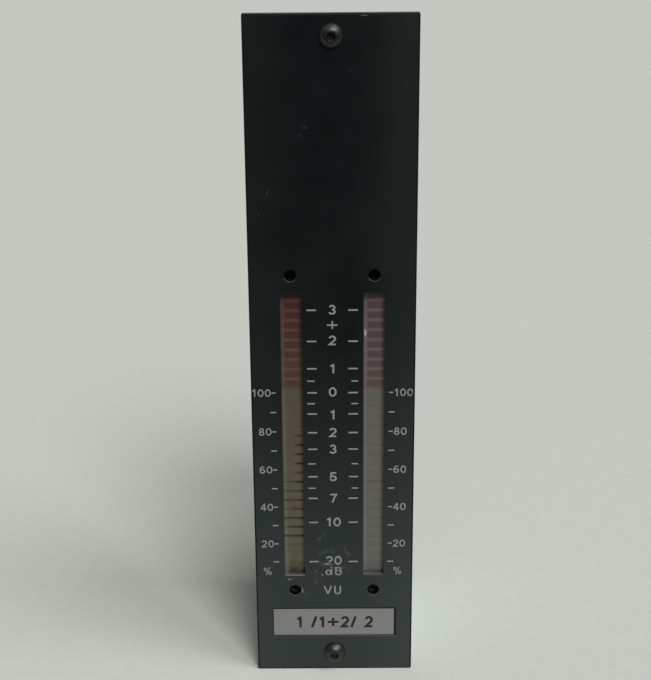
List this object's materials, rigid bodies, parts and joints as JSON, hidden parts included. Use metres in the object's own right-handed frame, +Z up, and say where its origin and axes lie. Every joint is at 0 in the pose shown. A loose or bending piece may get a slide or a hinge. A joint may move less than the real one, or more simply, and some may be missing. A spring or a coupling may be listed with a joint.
{
  "type": "led vu meter module",
  "caption": "Narrow black front panel with two LED level bars and a decibel scale, carrying trimmers, display and driver boards between side plates, for a mixing desk.",
  "frame": {"origin": "middle of the lower edge of the front panel, at its back face", "axes": "+X to the right seen from the front, +Y towards the back, +Z up the panel"},
  "size_m": [0.04, 0.0437, 0.17],
  "materials": {
    "panel_black": "satin black paint on sheet aluminium",
    "strip_paper": "matt grey tape",
    "screw_black": "black oxide steel",
    "nylon": "natural nylon",
    "array_cream": "aged cream plastic",
    "segment_cream": "diffusing epoxy, unlit",
    "array_red": "red tinted plastic",
    "segment_red": "red diffusing epoxy, unlit",
    "trimmer_black": "black moulded plastic",
    "rotor_black": "black moulded plastic",
    "board_green": "glass-fibre board with green lacquer",
    "zinc_steel": "zinc plated",
    "spacer_brass": "nickel plated brass",
    "connector_black": "black glass-filled plastic",
    "pin_gold": "gold flashed",
    "chip_black": "black moulded epoxy with tinned legs",
    "network_ochre": "dipped lacquer",
    "resistor_tan": "lacquered film resistors",
    "can_blue": "shrunk plastic sleeve",
    "film_red": "potted box",
    "plate_aluminium": "brushed, clear passivated"
  },
  "bodies": {
    "module": {"front_panel": "panel_black", "name_strip": "strip_paper", "left_lower_array": "array_cream", "left_lower_segments": "segment_cream", "left_middle_array": "array_cream", "left_middle_segments": "segment_cream", "left_red_array": "array_red", "left_red_segments": "segment_red", "right_lower_array": "array_cream", "right_lower_segments": "segment_cream", "right_middle_array": "array_cream", "right_middle_segments": "segment_cream", "right_red_array": "array_red", "right_red_segments": "segment_red", "lower_left_trimmer": "trimmer_black", "lower_right_trimmer": "trimmer_black", "upper_left_trimmer": "trimmer_black", "upper_right_trimmer": "trimmer_black", "display_board": "board_green", "driver_board": "board_green", "panel_studs": "zinc_steel", "board_screws": "zinc_steel", "tie_rod_screws": "zinc_steel", "front_spacers": "spacer_brass", "rear_spacers": "spacer_brass", "left_pin_strip": "connector_black", "right_pin_strip": "connector_black", "left_socket_strip": "connector_black", "right_socket_strip": "connector_black", "box_header": "connector_black", "stacking_pins": "pin_gold", "header_pins": "pin_gold", "left_lower_driver": "chip_black", "left_middle_driver": "chip_black", "left_upper_driver": "chip_black", "left_amplifier": "chip_black", "right_lower_driver": "chip_black", "right_middle_driver": "chip_black", "right_upper_driver": "chip_black", "right_amplifier": "chip_black", "resistor_networks": "network_ochre", "resistors": "resistor_tan", "electrolytic_capacitors": "can_blue", "film_capacitors": "film_red", "left_side_plate": "plate_aluminium", "right_side_plate": "plate_aluminium", "lower_tie_rod": "plate_aluminium", "upper_tie_rod": "plate_aluminium"},
    "top_retainer": {"top_screw_retainer": "nylon"},
    "top_screw": {"top_fixing_screw": "screw_black"},
    "bottom_retainer": {"bottom_screw_retainer": "nylon"},
    "bottom_screw": {"bottom_fixing_screw": "screw_black"},
    "lower_left_rotor": {"lower_left_rotor": "rotor_black"},
    "lower_right_rotor": {"lower_right_rotor": "rotor_black"},
    "upper_left_rotor": {"upper_left_rotor": "rotor_black"},
    "upper_right_rotor": {"upper_right_rotor": "rotor_black"}
  },
  "joints": [
    {"name": "top_screw_slide", "type": "slide", "parent": "module", "child": "top_retainer", "axis": [0, -1, 0], "range_m": [0, 0.0039]},
    {"name": "top_screw_turn", "type": "hinge", "parent": "top_retainer", "child": "top_screw", "pos_m": [0, 0.0045, 0.165], "axis": [0, -1, 0], "continuous": true},
    {"name": "bottom_screw_slide", "type": "slide", "parent": "module", "child": "bottom_retainer", "axis": [0, -1, 0], "range_m": [0, 0.0039]},
    {"name": "bottom_screw_turn", "type": "hinge", "parent": "bottom_retainer", "child": "bottom_screw", "pos_m": [0, 0.0045, 0.005], "axis": [0, -1, 0], "continuous": true},
    {"name": "lower_left_trim", "type": "hinge", "parent": "module", "child": "lower_left_rotor", "pos_m": [-0.01, 0.0023, 0.0236], "axis": [0, -1, 0], "range_deg": [-130, 130]},
    {"name": "lower_right_trim", "type": "hinge", "parent": "module", "child": "lower_right_rotor", "pos_m": [0.01, 0.0023, 0.0236], "axis": [0, -1, 0], "range_deg": [-130, 130]},
    {"name": "upper_left_trim", "type": "hinge", "parent": "module", "child": "upper_left_rotor", "pos_m": [-0.01, 0.0023, 0.1086], "axis": [0, -1, 0], "range_deg": [-130, 130]},
    {"name": "upper_right_trim", "type": "hinge", "parent": "module", "child": "upper_right_rotor", "pos_m": [0.01, 0.0023, 0.1086], "axis": [0, -1, 0], "range_deg": [-130, 130]}
  ]
}
